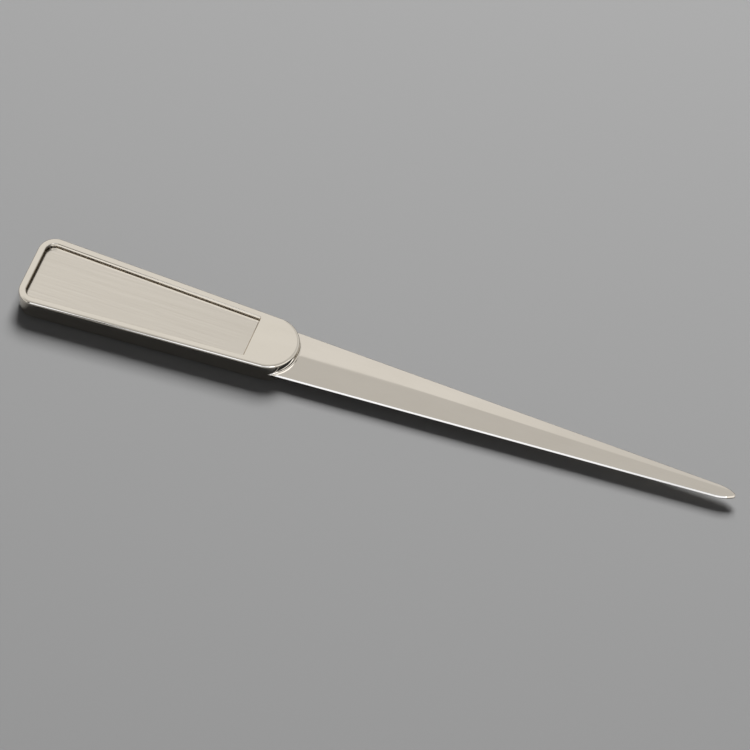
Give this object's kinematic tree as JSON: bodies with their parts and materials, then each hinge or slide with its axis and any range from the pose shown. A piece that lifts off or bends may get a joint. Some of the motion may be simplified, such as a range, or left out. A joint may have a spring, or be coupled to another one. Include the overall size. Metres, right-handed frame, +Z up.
{
  "type": "letter opener",
  "caption": "Slim polished metal letter opener: flat tapering handle with a half-round front end and a sunk brushed engraving plate, and a long softly ridged blade with a rounded tip.",
  "frame": {"origin": "middle of the opener's length and width, on the plane of the handle's flat underside", "axes": "+X along the opener from the butt to the tip, +Z up out of the plate side, +Y across the width"},
  "size_m": [0.216, 0.024, 0.0076],
  "materials": {
    "polished_nickel": "mirror-polished bright nickel plating, slightly warm",
    "polished_blade": "mirror-polished bright nickel plating, slightly warm",
    "plain_steel": "plain zinc-plated screw steel",
    "adhesive_tape": "thin white double-sided tape",
    "brushed_plate": "satin, fine straight brushing along the length"
  },
  "bodies": {
    "root": {"handle_body": "polished_nickel", "blade": "polished_blade", "tang_screws": "plain_steel", "plate_tape": "adhesive_tape", "engraving_plate": "brushed_plate"}
  },
  "joints": []
}
